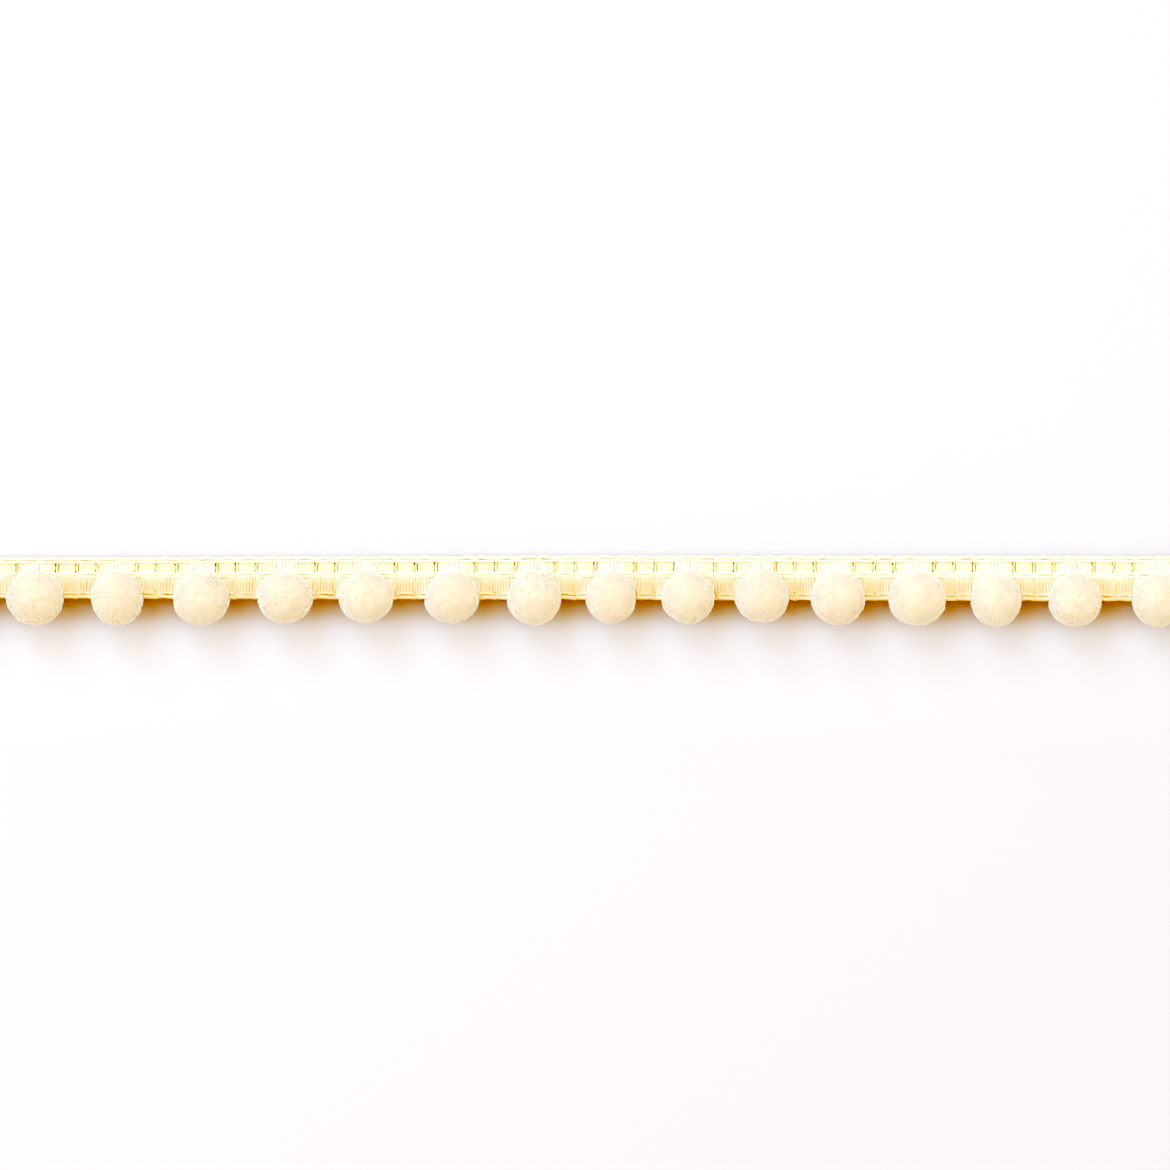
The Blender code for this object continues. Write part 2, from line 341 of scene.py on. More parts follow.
# %% The pompoms from left to right
Pompom = namedtuple("Pompom", "x offset_y width length height")
POMPOMS = (
    Pompom(x=-63.2, offset_y=0.00, width=5.2, length=5.2, height=5.0),
    Pompom(x=-55.0, offset_y=0.00, width=5.6, length=5.3, height=5.1),
    Pompom(x=-46.8, offset_y=-0.05, width=5.0, length=5.3, height=5.1),
    Pompom(x=-38.4, offset_y=-0.05, width=5.5, length=5.2, height=5.0),
    Pompom(x=-30.0, offset_y=0.05, width=5.4, length=5.0, height=5.1),
    Pompom(x=-21.9, offset_y=0.10, width=5.3, length=5.1, height=5.1),
    Pompom(x=-13.3, offset_y=0.10, width=5.3, length=5.1, height=5.0),
    Pompom(x=-5.1, offset_y=0.00, width=5.3, length=5.3, height=5.1),
    Pompom(x=2.6, offset_y=0.10, width=4.9, length=5.2, height=5.0),
    Pompom(x=10.3, offset_y=0.10, width=5.2, length=5.1, height=5.0),
    Pompom(x=17.7, offset_y=0.15, width=5.3, length=5.1, height=5.1),
    Pompom(x=25.3, offset_y=0.00, width=5.3, length=5.2, height=5.1),
    Pompom(x=33.2, offset_y=-0.05, width=5.6, length=5.3, height=5.2),
    Pompom(x=41.1, offset_y=-0.20, width=5.0, length=5.2, height=5.0),
    Pompom(x=49.0, offset_y=-0.20, width=5.2, length=5.2, height=5.1),
    Pompom(x=57.4, offset_y=-0.20, width=5.3, length=5.2, height=5.1),
    Pompom(x=65.4, offset_y=-0.15, width=5.2, length=5.2, height=5.0),
)
print("pompoms:", len(POMPOMS))

# %% [markdown]
# ## One course of knitting
# The tape is warp-knitted. Three chains of loops run along it, and inlaid threads cross from chain
# to chain in a bundle at each course. In the upper band a narrow slit stays open between two
# bundles. In the lower band the threads are spread out and close it. A loop's legs come up through
# the head of the loop before it, so the legs lie on top and the head lies low under the next pair
# of legs. The yarns that catch a pompom run side by side across the upper band and cover its slits.
# Each yarn is a short table of points on its centreline, and a smooth curve goes through them.

# %% Widths, tones and tables for one course
LOOP_WIDTH = 0.37
INLAY_WIDTH = 0.33
CLOSED_WIDTH = 0.38
# The chain loops, which stand highest, are painted paler than the threads: painted light.
LOOP_PAINTED_LIGHT = 0.24
FLAT_WIDTH = 4.30
LINE_STEPS = 2
BUNDLE_MIDDLE = 1.05
BUNDLE_GATHER = 0.85
LoopPoint = namedtuple("LoopPoint", "along aside height")
LOOP_HALF = (
    LoopPoint(along=-0.20, aside=0.05, height=0.26),
    LoopPoint(along=0.02, aside=0.09, height=0.38),
    LoopPoint(along=0.22, aside=0.13, height=0.58),
    LoopPoint(along=0.50, aside=0.17, height=0.67),
    LoopPoint(along=1.05, aside=0.18, height=0.69),
    LoopPoint(along=1.60, aside=0.17, height=0.65),
    LoopPoint(along=1.98, aside=0.16, height=0.54),
    LoopPoint(along=2.20, aside=0.11, height=0.42),
    LoopPoint(along=2.30, aside=0.00, height=0.38),
)
Wale = namedtuple("Wale", "name across")
WALES = (
    Wale(name="upper chain", across=0.34),
    Wale(name="middle chain", across=2.24),
    Wale(name="lower chain", across=4.33),
)
Inlay = namedtuple("Inlay", "along bow height")
OPEN_BAND = (
    Inlay(along=0.40, bow=-0.03, height=0.50),
    Inlay(along=0.61, bow=-0.02, height=0.56),
    Inlay(along=0.83, bow=-0.01, height=0.59),
    Inlay(along=1.05, bow=0.00, height=0.60),
    Inlay(along=1.27, bow=0.01, height=0.59),
    Inlay(along=1.49, bow=0.02, height=0.56),
    Inlay(along=1.70, bow=0.03, height=0.50),
    Inlay(along=0.05, bow=0.0, height=0.38),
)
CLOSED_BAND = (
    Inlay(along=0.14, bow=-0.02, height=0.48),
    Inlay(along=0.43, bow=-0.02, height=0.54),
    Inlay(along=0.72, bow=-0.01, height=0.58),
    Inlay(along=1.00, bow=0.00, height=0.60),
    Inlay(along=1.29, bow=0.01, height=0.58),
    Inlay(along=1.57, bow=0.02, height=0.54),
    Inlay(along=1.86, bow=0.02, height=0.48),
    Inlay(along=0.45, bow=0.0, height=0.22),
    Inlay(along=1.05, bow=0.0, height=0.22),
    Inlay(along=1.65, bow=0.0, height=0.22),
)


def smooth_line(points, steps):
    """A Catmull-Rom curve through the points, with this many steps from each to the next."""
    points = np.array(points, float)
    padded = np.vstack([2 * points[0] - points[1], points, 2 * points[-1] - points[-2]])
    share = np.arange(steps)[:, None] / steps
    line = []
    for a, b, c, d in zip(padded, padded[1:], padded[2:], padded[3:]):
        line.append(0.5 * (2 * b + (c - a) * share + (2 * a - 5 * b + 4 * c - d) * share ** 2
                           + (3 * b - a - 3 * c + d) * share ** 3))
    return np.vstack([*line, points[-1:]])


def loop_line(wale):
    """The centreline of one loop: out along one leg, round the head and back along the other."""
    out = [(p.along, -p.aside, p.height) for p in LOOP_HALF]
    back = [(p.along, p.aside, p.height) for p in reversed(LOOP_HALF[:-1])]
    line = smooth_line(out + back, LINE_STEPS)
    return line + np.array([0.0, wale.across, 0.0])


def inlay_line(inlay, upper, lower):
    """The centreline of one crossing thread, which bows away from the middle of its bundle."""
    span = lower.across - upper.across
    middle = inlay.along + inlay.bow
    gather = BUNDLE_MIDDLE + BUNDLE_GATHER * (inlay.along - BUNDLE_MIDDLE)
    points = [
        (gather, upper.across - 0.20, 0.30),
        (gather, upper.across + 0.10, 0.45),
        (middle, upper.across + 0.30 * span, inlay.height),
        (middle, upper.across + 0.70 * span, inlay.height),
        (gather, lower.across - 0.10, 0.45),
        (gather, lower.across + 0.20, 0.30),
    ]
    return smooth_line(points, LINE_STEPS)


def lines_mesh(name, lines, yarn_widths, yarn_tone):
    """A mesh of loose edges that holds several centrelines, with each yarn's width and the tone."""
    points = np.vstack(lines)
    edges = []
    for line in lines:
        start = edges[-1][1] + 1 if edges else 0
        edges += [(start + i, start + i + 1) for i in range(len(line) - 1)]
    mesh = bpy.data.meshes.new(name)
    mesh.from_pydata(points.tolist(), edges, [])
    widths = np.repeat(yarn_widths, [len(line) for line in lines])
    tones = np.full(len(points), yarn_tone)
    for label, values in (("yarn_width", widths), ("yarn_tone", tones)):
        numbers = mesh.attributes.new(label, "FLOAT", "POINT")
        numbers.data.foreach_set("value", values)
    return mesh


# %% Lay out one course
course_loops = [loop_line(wale) for wale in WALES]
loops = lines_mesh("loops of a course", course_loops, [LOOP_WIDTH] * len(WALES), LOOP_PAINTED_LIGHT)
upper_chain, middle_chain, lower_chain = WALES
crossings = [inlay_line(inlay, upper_chain, middle_chain) for inlay in OPEN_BAND]
crossings += [inlay_line(inlay, middle_chain, lower_chain) for inlay in CLOSED_BAND]
widths = [INLAY_WIDTH] * len(OPEN_BAND) + [CLOSED_WIDTH] * len(CLOSED_BAND)
inlays = lines_mesh("threads of a course", crossings, widths, 0.0)
print("one course:", len(WALES), "loops and", len(crossings), "threads")

# %% The yarns of each pompom, laid across the upper band
TIE_OFFSETS = (-1.12, -0.80, -0.48, -0.16, 0.16, 0.48, 0.80, 1.12)
TIE_GATHER = 0.90
TIE_TONE = 0.55
TIE_HEIGHT = 0.70
TIE_FALL = 0.06


def tie_line(x, offset):
    """One of the yarns that run from a pompom's slot across the tape to the upper chain."""
    upper, middle = upper_chain.across, middle_chain.across
    rise = TIE_HEIGHT - TIE_FALL * abs(offset)
    points = [
        (x + TIE_GATHER * offset, upper - 0.18, 0.30),
        (x + TIE_GATHER * offset, upper + 0.06, 0.42),
        (x + offset, upper + 0.30 * (middle - upper), rise),
        (x + offset, upper + 0.72 * (middle - upper), rise),
        (x + TIE_GATHER * offset, middle - 0.04, 0.42),
        (x + TIE_GATHER * offset, middle + 0.30, 0.34),
    ]
    return smooth_line(points, LINE_STEPS)


ties = [tie_line(pompom.x + 0.5 * TAPE_LENGTH, offset)
        for pompom in POMPOMS for offset in TIE_OFFSETS]
tie_mesh = lines_mesh("tie yarns", ties, [INLAY_WIDTH] * len(ties), TIE_TONE)
tie_yarns = bpy.data.objects.new("tie yarns", tie_mesh)
print("tie yarns:", len(ties))

# %% [markdown]
# ## Knit the whole tape
# Each yarn is first a bare line, because a line is quick to repeat and to bend. The tree repeats the
# course along the tape, adds the yarns of the pompoms, and lets all of them wander a little, so
# that no two stitches are alike. Then each line gets a round section. How deep the surface lies and
# how far round the section it is are stored, so that the material can colour it and twist its
# plies. Fine loose hairs are scattered over it last.

# %% Repeat the course, and let the yarns wander
WANDER_SCALE = 0.9


def repeat_course(tree, course, extra, courses, pitch, wander):
    """Copies of the course side by side with the extra yarns, all a little uneven, as curves."""
    step = add_node(tree, "ShaderNodeCombineXYZ", {"X": pitch}).outputs[0]
    places = add_node(tree, "GeometryNodeMeshLine", {"Count": courses, "Offset": step})
    copies = add_node(tree, "GeometryNodeInstanceOnPoints",
                      {"Points": places.outputs[0], "Instance": course})
    real = add_node(tree, "GeometryNodeRealizeInstances", {"Geometry": copies.outputs[0]})
    more = add_node(tree, "GeometryNodeObjectInfo", {"Object": extra})
    both = join(tree, more.outputs["Geometry"], real.outputs[0])
    fine = add_node(tree, "ShaderNodeTexNoise", {
        "Vector": position(tree), "Scale": WANDER_SCALE, "Detail": 1.0})
    centred = vector_calc(tree, "SUBTRACT", fine.outputs["Color"], (0.5, 0.5, 0.5))
    moved = add_node(tree, "GeometryNodeSetPosition",
                     {"Geometry": both, "Offset": scaled(tree, centred, wander)})
    return add_node(tree, "GeometryNodeMeshToCurve", {"Mesh": moved.outputs[0]}).outputs[0]


# %% Number the yarns, and store how far along each one a point is
def number_yarns(tree, lines):
    """The curves with each yarn's number, and each point's length and share along it."""
    along = add_node(tree, "GeometryNodeSplineParameter").outputs["Length"]
    lines = store(tree, lines, "yarn_along", along)
    share = add_node(tree, "GeometryNodeSplineParameter").outputs["Factor"]
    lines = store(tree, lines, "yarn_share", share)
    number = add_node(tree, "GeometryNodeInputIndex").outputs[0]
    return store(tree, lines, "yarn_number", number, domain="CURVE")


# %% Give each yarn its round section, and store how deep its surface lies
LOW_YARN = 0.10
HIGH_YARN = 0.85
LOW_DEPTH = 0.55


def thicken_yarns(tree, lines, sides):
    """Round tubes along the curves, as wide as each yarn's stored width."""
    width = add_node(tree, "GeometryNodeInputNamedAttribute", {"Name": "yarn_width"}).outputs[0]
    lines = add_node(tree, "GeometryNodeSetCurveRadius",
                     {"Curve": lines, "Radius": calc(tree, "MULTIPLY", width, 0.5)}).outputs[0]
    ring = add_node(tree, "GeometryNodeCurvePrimitiveCircle", {"Resolution": sides, "Radius": 1.0})
    parts = axis_parts(tree, position(tree))
    ring = store(tree, ring.outputs[0], "yarn_round_x", parts[0])
    ring = store(tree, ring, "yarn_round_y", parts[1])
    turn = calc(tree, "DIVIDE", add_node(tree, "GeometryNodeInputIndex").outputs[0], sides)
    ring = store(tree, ring, "yarn_turn", turn)
    tubes = add_node(tree, "GeometryNodeCurveToMesh", {
        "Curve": lines, "Profile Curve": ring, "Fill Caps": True,
        "Scale": add_node(tree, "GeometryNodeInputRadius").outputs[0]}).outputs[0]
    depth = add_node(tree, "ShaderNodeMapRange", {
        "Value": axis_parts(tree, position(tree))[2],
        "From Min": LOW_YARN, "From Max": HIGH_YARN, "To Min": LOW_DEPTH, "To Max": 1.0})
    return store(tree, tubes, "yarn_depth", depth.outputs[0])


# %% Scatter loose hairs over the yarns
HAIR_LEAN = 0.9
SHORTEST_HAIR = 0.4
LONGEST_HAIR = 1.2


def scatter_hairs(tree, tubes, hairs, length, width, seed):
    """Thin cones that stand on the tubes at random and lean any way."""
    roots = add_node(tree, "GeometryNodeDistributePointsOnFaces",
                     {"Mesh": tubes, "Density": hairs, "Seed": seed})
    hair = add_node(tree, "GeometryNodeMeshCone", {
        "Vertices": 3, "Radius Top": 0.0, "Radius Bottom": width, "Depth": length})
    aim = vector_calc(tree, "ADD", roots.outputs["Normal"], draw_vector(tree, seed, HAIR_LEAN))
    turn = add_node(tree, "FunctionNodeAlignRotationToVector", {"Vector": aim}, axis="Z").outputs[0]
    grow = draw_number(tree, seed, SHORTEST_HAIR, LONGEST_HAIR)
    fuzz = add_node(tree, "GeometryNodeInstanceOnPoints", {
        "Points": roots.outputs["Points"], "Instance": hair.outputs[0], "Rotation": turn,
        "Scale": add_node(tree, "ShaderNodeCombineXYZ", {0: 1.0, 1: 1.0, 2: grow}).outputs[0]})
    fuzz = add_node(tree, "GeometryNodeRealizeInstances", {"Geometry": fuzz.outputs[0]}).outputs[0]
    fuzz = store(tree, fuzz, "yarn_depth", 1.0)
    return store(tree, fuzz, "yarn_share", -1.0)


# %% The knitting tree
def knitting_tree():
    """The whole recipe, from one course of lines to the finished yarns of the tape."""
    tree, start = new_tree("knitting")
    extra = named_input(tree, start, "Extra Yarns", "Object")
    courses = named_input(tree, start, "Courses", "Int")
    pitch = named_input(tree, start, "Course Pitch", "Float")
    sides = named_input(tree, start, "Yarn Sides", "Int")
    wander = named_input(tree, start, "Wander", "Float")
    hairs = named_input(tree, start, "Hairs", "Float")
    hair_length = named_input(tree, start, "Hair Length", "Float")
    hair_width = named_input(tree, start, "Hair Width", "Float")
    seed = named_input(tree, start, "Seed", "Int")
    material = named_input(tree, start, "Material", "Material")

    lines = repeat_course(tree, start.outputs["Geometry"], extra, courses, pitch, wander)
    tubes = thicken_yarns(tree, number_yarns(tree, lines), sides)
    fuzz = scatter_hairs(tree, tubes, hairs, hair_length, hair_width, seed)
    finish_tree(tree, join(tree, fuzz, tubes), material)
    return tree


# %% [markdown]
# ## A flat map for the yarns
# Colours that follow the stored numbers live only in this scene. To be kept as a painted texture,
# every face needs a place of its own on a flat map. An automatic unwrap would cut the yarns into
# thousands of scraps. The numbers stored on each yarn already say how far along and how far round a
# point is, so each yarn is simply unrolled into its own cell of a square grid.

# %% Unroll each yarn into its own cell of a flat map
CELL_MARGIN = 0.06


def unroll_yarns(mesh):
    """Each yarn fills one cell, with its turn across and its length up. Hairs share a last cell."""
    points, faces, places = read_corners(mesh)
    number = np.round(read_number(mesh, "yarn_number")[points])
    share = read_number(mesh, "yarn_share")[points]
    turn = read_number(mesh, "yarn_turn")[points]
    hair = share < 0.0
    low = np.full(faces[-1] + 1, np.inf)
    high = np.full(faces[-1] + 1, -np.inf)
    np.minimum.at(low, faces, turn)
    np.maximum.at(high, faces, turn)
    seam = (high - low)[faces] > 0.5
    turn = np.where(seam & (turn < 0.5), turn + 1.0, turn)
    turn = np.where(hair, places % 2, turn)
    share = np.where(hair, places // 2, share)
    number = np.where(hair, number.max() + 1, number)
    cells = math.ceil(math.sqrt(number.max() + 1))
    inner = 1.0 - 2.0 * CELL_MARGIN
    unroll(mesh, (number % cells + CELL_MARGIN + inner * turn) / cells,
           (number // cells + CELL_MARGIN + inner * share) / cells)


# %% [markdown]
# ## Warm and pale places
# Towards its lower edge the tape stands off the table. Less light gets into it there, so its yarns
# are painted golden, as painted shade. Right beside a pompom the tape is painted paler again, a
# little towards the light, as painted light thrown on it by the pompom's lit side. The yarn is the
# same everywhere, so both only change the stored numbers. A short table gives the warmth at shares
# of the way from the upper edge, and the painted light depends on how far the next pompom is.

# %% Warmth across the tape
Warmth = namedtuple("Warmth", "across share")
WARMTH = (
    Warmth(across=0.60, share=0.0),
    Warmth(across=0.69, share=0.70),
    Warmth(across=0.90, share=0.67),
    Warmth(across=1.00, share=0.74),
)
FULL_WARMTH = WARMTH[1].share


def warmth_at(across):
    """How much warmer the yarn looks at these shares of the way across the tape."""
    table = np.array(WARMTH)
    return np.interp(across, table[:, 0], table[:, 1])


print("warm from", round(WARMTH[0].across * FLAT_WIDTH, 2), "mm across")

# %% Painted light beside the pompoms
PAINTED_LIGHT_REACH = 1.26  # in radii of the pompom
PAINTED_LIGHT_SHIFT = -0.15  # towards the light
PAINTED_LIGHT_SHARE = 0.55
PAINTED_LIGHT_TONE = 0.28


def painted_light_at(points):
    """How much painted light a pompom throws on the tape here: 1 against it, falling to 0 further out.
    """
    most = np.zeros(len(points))
    for pompom in POMPOMS:
        across = (points[:, 0] - pompom.x - PAINTED_LIGHT_SHIFT) / (0.5 * pompom.width)
        up = (points[:, 1] - ROW_Y - pompom.offset_y) / (0.5 * pompom.length)
        most = np.maximum(most, (PAINTED_LIGHT_REACH - np.hypot(across, up)) / (PAINTED_LIGHT_REACH - 1.0))
    return np.clip(most, 0.0, 1.0)


# %% Knit it flat, then lay it down
def write_number(mesh, name, values):
    """Put new values in place of a number that is stored for each point of the mesh."""
    mesh.attributes[name].data.foreach_set("value", values.astype(np.float32))


def knit(name, course, extra, seed):
    """Knit one kind of yarn over the whole length, and lay it on the table."""
    mesh = run_tree(knit_yarn, name, course, {
        "Extra Yarns": extra,
        "Courses": COURSES,
        "Course Pitch": COURSE_PITCH,
        "Yarn Sides": 6,
        "Wander": 0.22,
        "Hairs": 1.2,
        "Hair Length": 0.34,
        "Hair Width": 0.013,
        "Seed": seed,
        "Material": heading_yarn,
    })
    unroll_yarns(mesh)
    flat = read_points(mesh)
    flat[:, 0] -= 0.5 * TAPE_LENGTH
    flat[:, 1] /= FLAT_WIDTH
    laid = lay_tape(flat)
    laid[:, 2] = np.maximum(laid[:, 2], 0.0)
    mesh.vertices.foreach_set("co", (laid * MM).ravel())
    # Painted shade warms the lower band, and painted light beside each pompom makes it paler again.
    warmth = warmth_at(flat[:, 1])
    painted_light = painted_light_at(laid)
    depth = read_number(mesh, "yarn_depth") * (1.0 - warmth * (1.0 - PAINTED_LIGHT_SHARE * painted_light))
    write_number(mesh, "yarn_depth", depth)
    plain = np.clip(1.0 - warmth / FULL_WARMTH, 0.0, 1.0)
    tone = np.maximum(read_number(mesh, "yarn_tone") * plain, PAINTED_LIGHT_TONE * painted_light)
    write_number(mesh, "yarn_tone", tone)
    knitted = bpy.data.objects.new(name, mesh)
    bpy.context.scene.collection.objects.link(knitted)
    print(name, "has", count_triangles(mesh), "triangles")
    return knitted


knit_yarn = knitting_tree()
chain_loops = knit("chain_loops", loops, None, 11)
inlaid_threads = knit("inlaid_threads", inlays, tie_yarns, 12)
bpy.data.objects.remove(tie_yarns)

# %% [markdown]
# ## Pompoms
# A pompom is a tight bunch of short fibres, cut to a ball. Hair particles could grow them, but they
# give no mesh to keep. So one tree shapes a dense core, a little lumpy and faintly parted between
# its locks, and stands many small blunt fibres on it. The tape passes through a slot in the core,
# and the table presses the pile flat under each ball.

# %% Measures of the pile
PILE_LENGTH = 0.24
PILE_REACH = 0.16  # how far the fibres stand out from the core
PILE_WIDTH = 0.046
PILE_DENSITY = 122.0
print("fibres to the square millimetre:", PILE_DENSITY)

# %% A ball with lumps and faint partings
CORE_SUBDIVISIONS = 5
NOISE_REACH = 50.0
LUMP_SCALE = 1.1
BEND_SCALE = 1.6
LOCK_SCALE = 1.5
PARTING_WIDTH = 0.10


def shape_ball(tree, half_size, centre, lump, crease, seed):
    """A plain ball, where its points belong once it is lumpy, and how near a parting a place is."""
    ball = add_node(tree, "GeometryNodeMeshIcoSphere",
                    {"Radius": 1.0, "Subdivisions": CORE_SUBDIVISIONS}).outputs[0]
    outward = position(tree)
    same = add_node(tree, "FunctionNodeInputInt", integer=0).outputs[0]
    where = vector_calc(tree, "ADD", outward, draw_vector(tree, seed, NOISE_REACH, ID=same))
    broad = add_node(tree, "ShaderNodeTexNoise", {"Vector": where, "Scale": LUMP_SCALE, "Detail": 1.0})
    swell = calc(tree, "MULTIPLY", calc(tree, "SUBTRACT", broad.outputs[0], 0.5), lump)
    bend = add_node(tree, "ShaderNodeTexNoise", {"Vector": where, "Scale": BEND_SCALE, "Detail": 0.0})
    bent = vector_calc(tree, "ADD", where, vector_calc(
        tree, "SUBTRACT", bend.outputs["Color"], (0.5, 0.5, 0.5)))
    locks = add_node(tree, "ShaderNodeTexVoronoi", {"Vector": bent, "Scale": LOCK_SCALE},
                     feature="DISTANCE_TO_EDGE").outputs[0]
    part = add_node(tree, "ShaderNodeMapRange", {
        "Value": locks, "From Min": 0.0, "From Max": PARTING_WIDTH, "To Min": 1.0, "To Max": 0.0},
        interpolation_type="SMOOTHSTEP").outputs[0]
    sink = calc(tree, "MULTIPLY", part, crease)
    reach = calc(tree, "SUBTRACT", calc(tree, "ADD", 1.0, swell), sink)
    sized = scaled(tree, vector_calc(tree, "MULTIPLY", outward, half_size), reach)
    return ball, vector_calc(tree, "ADD", sized, centre), part


# %% Press the ball flat where it rests
FOOT_TOP = 0.80
FOOT_LEVEL = 0.30


def press_foot(tree, ball, place):
    """The ball at its place, with what would be below the foot's level pressed onto the table."""
    x, y, z = axis_parts(tree, place)
    foot = add_node(tree, "ShaderNodeMapRange", {
        "Value": z, "From Min": FOOT_LEVEL, "From Max": FOOT_TOP, "To Min": 0.0, "To Max": FOOT_TOP})
    above = calc(tree, "MULTIPLY", calc(tree, "GREATER_THAN", z, FOOT_TOP), z)
    rest = add_node(tree, "ShaderNodeCombineXYZ", {
        0: x, 1: y, 2: calc(tree, "MAXIMUM", foot.outputs[0], above)})
    return add_node(tree, "GeometryNodeSetPosition",
                    {"Geometry": ball, "Position": rest.outputs[0]}).outputs[0]


# %% Cut the slot for the tape out of the core
CORE_DEPTH = 0.45
PARTING_DEPTH = -0.25


def cut_slot(tree, shaped, slot, part):
    """The core without the slot, a closed body in painted shade, deeper in lines as between locks."""
    box = add_node(tree, "GeometryNodeMeshCube", {"Size": slot.size})
    box = add_node(tree, "GeometryNodeTransform", {
        "Geometry": box.outputs[0], "Translation": slot.place, "Rotation": slot.turn})
    core = add_node(tree, "GeometryNodeMeshBoolean", {"Mesh 1": shaped, "Mesh 2": box.outputs[0]},
                    operation="DIFFERENCE", solver="EXACT").outputs[0]
    core = store(tree, core, "yarn_depth", calc(tree, "MULTIPLY_ADD", part, PARTING_DEPTH, CORE_DEPTH))
    return store(tree, core, "yarn_chance", -1.0)


# %% Choose where the fibres stand
LOWEST_ROOT = 0.10


def place_roots(tree, shaped, slot, density, seed):
    """Points all over the ball, but not inside the slot or on the table."""
    roots = add_node(tree, "GeometryNodeDistributePointsOnFaces",
                     {"Mesh": shaped, "Density": density, "Seed": seed})
    from_slot = vector_calc(tree, "SUBTRACT", position(tree), slot.place)
    in_slot = add_node(tree, "ShaderNodeVectorRotate", {
        "Vector": from_slot, "Rotation": slot.turn}, rotation_type="EULER_XYZ", invert=True)
    beside = vector_calc(tree, "ABSOLUTE", in_slot.outputs[0])
    margin = vector_calc(tree, "SUBTRACT", scaled(tree, slot.size, 0.5), beside)
    x, y, z = axis_parts(tree, margin)
    inside = calc(tree, "MINIMUM", calc(tree, "MINIMUM", x, y), z)
    low = axis_parts(tree, position(tree))[2]
    unwanted = calc(tree, "MAXIMUM", calc(tree, "GREATER_THAN", inside, 0.0),
                    calc(tree, "LESS_THAN", low, LOWEST_ROOT))
    return add_node(tree, "GeometryNodeDeleteGeometry", {
        "Geometry": roots.outputs["Points"], "Selection": unwanted}, domain="POINT").outputs[0]


# %% Stand a fibre on each root
ROOT_DEPTH = 0.4
SHORTEST_FIBRE = 0.78
LENGTH_SPREAD = 0.28
STRAY_POWER = 8.0


def blunt_fibre(tree, length, width):
    """One cut fibre, widest at its tip. Its colour is warmer towards the root, as painted shade."""
    fibre = add_node(tree, "GeometryNodeMeshCone", {
        "Vertices": 3, "Radius Top": width, "Radius Bottom": 0.0, "Depth": length})
    up = axis_parts(tree, position(tree))[2]
    depth = calc(tree, "MULTIPLY_ADD", calc(tree, "DIVIDE", up, length), 1.0 - ROOT_DEPTH, ROOT_DEPTH)
    return store(tree, fibre.outputs[0], "yarn_depth", depth)


def grow_fibres(tree, roots, fibre, centre, stray_length, lean, seed):
    """A fibre on each root, leaning a little. Nearly all are cut alike, and a few stray past."""
    radial = vector_calc(tree, "NORMALIZE", vector_calc(tree, "SUBTRACT", position(tree), centre))
    aim = vector_calc(tree, "ADD", radial, scaled(tree, draw_vector(tree, seed, 1.0), lean))
    turn = add_node(tree, "FunctionNodeAlignRotationToVector", {"Vector": aim}, axis="Z").outputs[0]
    luck = draw_number(tree, seed)
    stray = calc(tree, "MULTIPLY_ADD", calc(tree, "POWER", luck, STRAY_POWER),
                 stray_length, SHORTEST_FIBRE)
    grow = calc(tree, "MULTIPLY_ADD", luck, LENGTH_SPREAD, stray)
    pile = add_node(tree, "GeometryNodeInstanceOnPoints", {
        "Points": roots, "Instance": fibre, "Rotation": turn,
        "Scale": add_node(tree, "ShaderNodeCombineXYZ", {0: 1.0, 1: 1.0, 2: grow}).outputs[0]})
    chance = draw_number(tree, seed)
    pile = store(tree, pile.outputs[0], "yarn_chance", chance, domain="INSTANCE")
    return add_node(tree, "GeometryNodeRealizeInstances", {"Geometry": pile}).outputs[0]


# %% The pompom tree
Slot = namedtuple("Slot", "place turn size")
ABOVE_TABLE = (-1000.0, -1000.0, 0.0)


def pompom_tree():
    """The whole recipe for a pompom: its core, its fibres, and the table under it."""
    tree, start = new_tree("pompom")
    half_size = named_input(tree, start, "Half Size", "Vector")
    centre = named_input(tree, start, "Centre", "Vector")
    slot = Slot(place=named_input(tree, start, "Slot Place", "Vector"),
                turn=named_input(tree, start, "Slot Turn", "Vector"),
                size=named_input(tree, start, "Slot Size", "Vector"))
    lump = named_input(tree, start, "Lump", "Float")
    crease = named_input(tree, start, "Crease", "Float")
    density = named_input(tree, start, "Pile Density", "Float")
    length = named_input(tree, start, "Pile Length", "Float")
    width = named_input(tree, start, "Pile Width", "Float")
    stray_length = named_input(tree, start, "Stray Length", "Float")
    lean = named_input(tree, start, "Lean", "Float")
    seed = named_input(tree, start, "Seed", "Int")
    material = named_input(tree, start, "Material", "Material")

    ball, place, part = shape_ball(tree, half_size, centre, lump, crease, seed)
    shaped = press_foot(tree, ball, place)
    core = cut_slot(tree, shaped, slot, part)
    roots = place_roots(tree, shaped, slot, density, seed)
    fibre = blunt_fibre(tree, length, width)
    pile = grow_fibres(tree, roots, fibre, centre, stray_length, lean, seed)
    above = vector_calc(tree, "MAXIMUM", position(tree), ABOVE_TABLE)
    pressed = add_node(tree, "GeometryNodeSetPosition",
                       {"Geometry": join(tree, pile, core), "Position": above})
    finish_tree(tree, pressed.outputs[0], material)
    return tree


# %% Map the pile: fibres by chance and depth on the left half, the core from above on the right
FIBRE_STEP = 0.004
FIBRE_CORNER = 0.02
FIBRE_SPAN = (0.44, 0.96)
CORE_MIDDLE = (0.75, 0.50)
CORE_SPAN = (0.4, 0.8)


